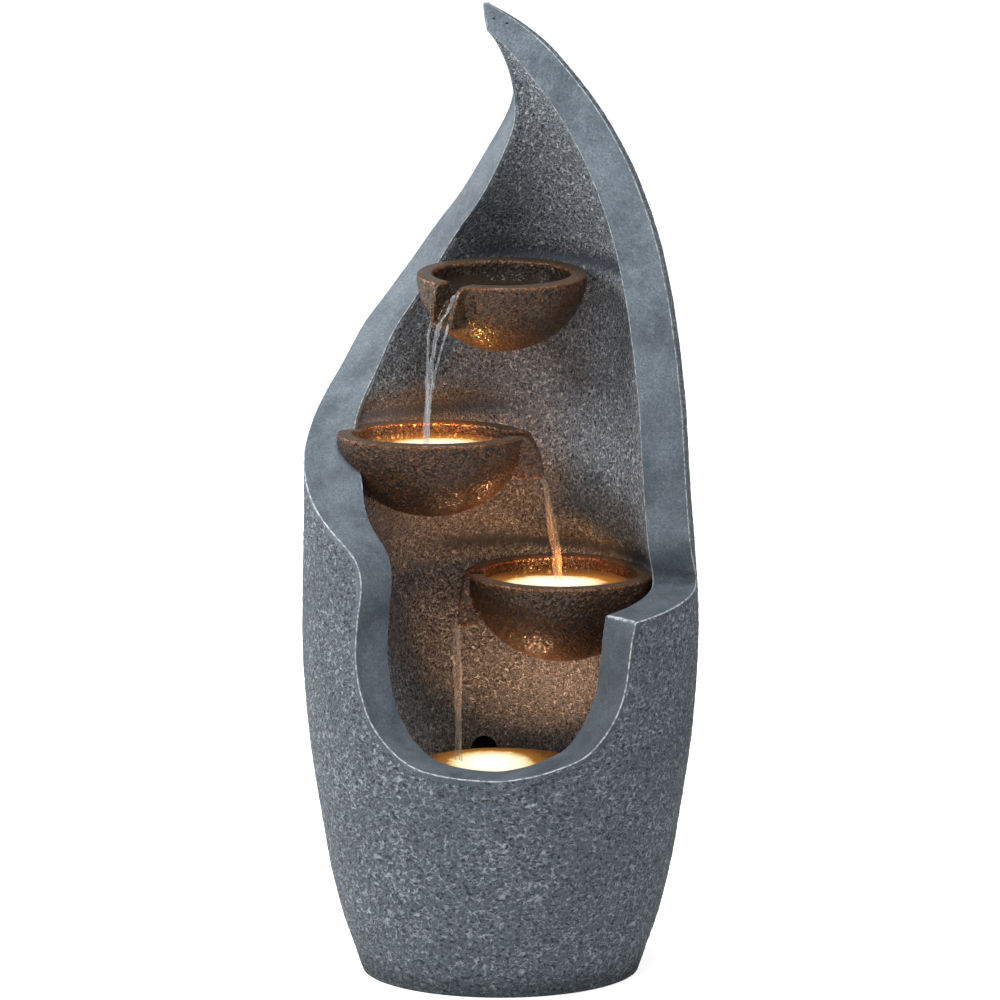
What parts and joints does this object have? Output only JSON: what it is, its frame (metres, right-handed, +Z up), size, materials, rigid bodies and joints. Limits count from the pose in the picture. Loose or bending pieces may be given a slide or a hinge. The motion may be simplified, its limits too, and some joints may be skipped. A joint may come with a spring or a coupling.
{
  "type": "tiered fountain",
  "caption": "Free-standing cascade fountain: cut-open slate vase with a leaf tip, spouted bronze bowls, submersible pump, riser hose, water lamps and a rear access door.",
  "frame": {"origin": "centre of the round base, on the ground", "axes": "+Z up, the open front with the bowls towards -Y, +X to the viewer's right"},
  "size_m": [0.4032, 0.3956, 1],
  "materials": {
    "slate_shell": "hammered slate-blue cast resin with pale dry-brushed crests",
    "rim_finish": "smooth, mottled pale slate with worn edges",
    "grotto_finish": "dark hammered slate",
    "bowl_bronze": "dark bronze-brown resin with copper dry-brushing",
    "black_plastic": "matte black moulding",
    "grey_plastic": "matte grey moulding",
    "rubber": "soft black rubber",
    "lead_jacket": "black round lead jacket",
    "hose": "smoked flexible hose",
    "stainless": "stainless steel",
    "brass": "turned brass",
    "ceramic": "white ceramic",
    "lamp_lens": "clear warm lens, lit"
  },
  "bodies": {
    "fountain": {"outer_shell": "slate_shell", "rim_band": "rim_finish", "grotto_wall": "grotto_finish", "bowl_top": "bowl_bronze", "bowl_middle": "bowl_bronze", "bowl_lower": "bowl_bronze", "bowl_bolts": "stainless", "basin_floor": "grotto_finish", "reservoir_tub": "black_plastic", "tub_posts": "black_plastic", "base_plate": "black_plastic", "base_blocks": "slate_shell", "base_screws": "stainless", "service_plate": "slate_shell", "cord_grommet": "rubber", "door_frame": "black_plastic", "door_gasket": "rubber", "door_inserts": "brass", "pump_body": "black_plastic", "pump_shaft": "ceramic", "pump_nozzle": "black_plastic", "pump_feet": "rubber", "riser_hose": "hose", "hose_clamps": "stainless", "bowl_inlet": "black_plastic", "lamp_middle_housing": "black_plastic", "lamp_middle_lens": "lamp_lens", "lamp_lower_housing": "black_plastic", "lamp_lower_lens": "lamp_lens", "lamp_basin_housing": "black_plastic", "lamp_basin_lens": "lamp_lens", "lead_grommets": "rubber", "lamp_lead_middle": "lead_jacket", "lamp_lead_lower": "lead_jacket", "lamp_lead_basin": "lead_jacket", "pump_lead": "lead_jacket", "lead_splitter": "black_plastic"},
    "door": {"access_door": "slate_shell"},
    "upper_screw": {"door_screw_upper": "stainless"},
    "lower_screw": {"door_screw_lower": "stainless"},
    "strainer_cover": {"pump_cover": "black_plastic"},
    "flow_knob": {"pump_flow_knob": "grey_plastic"},
    "impeller": {"pump_impeller": "grey_plastic"},
    "drain": {"drain_plug": "rubber"}
  },
  "joints": [
    {"name": "door_lift_off", "type": "slide", "parent": "fountain", "child": "door", "axis": [0, 1, 0], "range_m": [0, 0.06]},
    {"name": "upper_screw_turn", "type": "hinge", "parent": "door", "child": "upper_screw", "pos_m": [0, 0.19, 0.343], "axis": [0, 1, 0], "continuous": true},
    {"name": "lower_screw_turn", "type": "hinge", "parent": "door", "child": "lower_screw", "pos_m": [0, 0.185, 0.257], "axis": [0, 1, 0], "continuous": true},
    {"name": "strainer_pull_off", "type": "slide", "parent": "fountain", "child": "strainer_cover", "axis": [0, -1, 0], "range_m": [0, 0.03]},
    {"name": "flow_setting", "type": "hinge", "parent": "strainer_cover", "child": "flow_knob", "pos_m": [0.012, 0.06, 0.057], "axis": [0, 1, 0], "range_deg": [-60, 60]},
    {"name": "impeller_spin", "type": "hinge", "parent": "fountain", "child": "impeller", "pos_m": [0, 0.08, 0.038], "axis": [0, 1, 0], "continuous": true},
    {"name": "drain_pull", "type": "slide", "parent": "fountain", "child": "drain", "axis": [0, 1, 0], "range_m": [0, 0.035]}
  ]
}
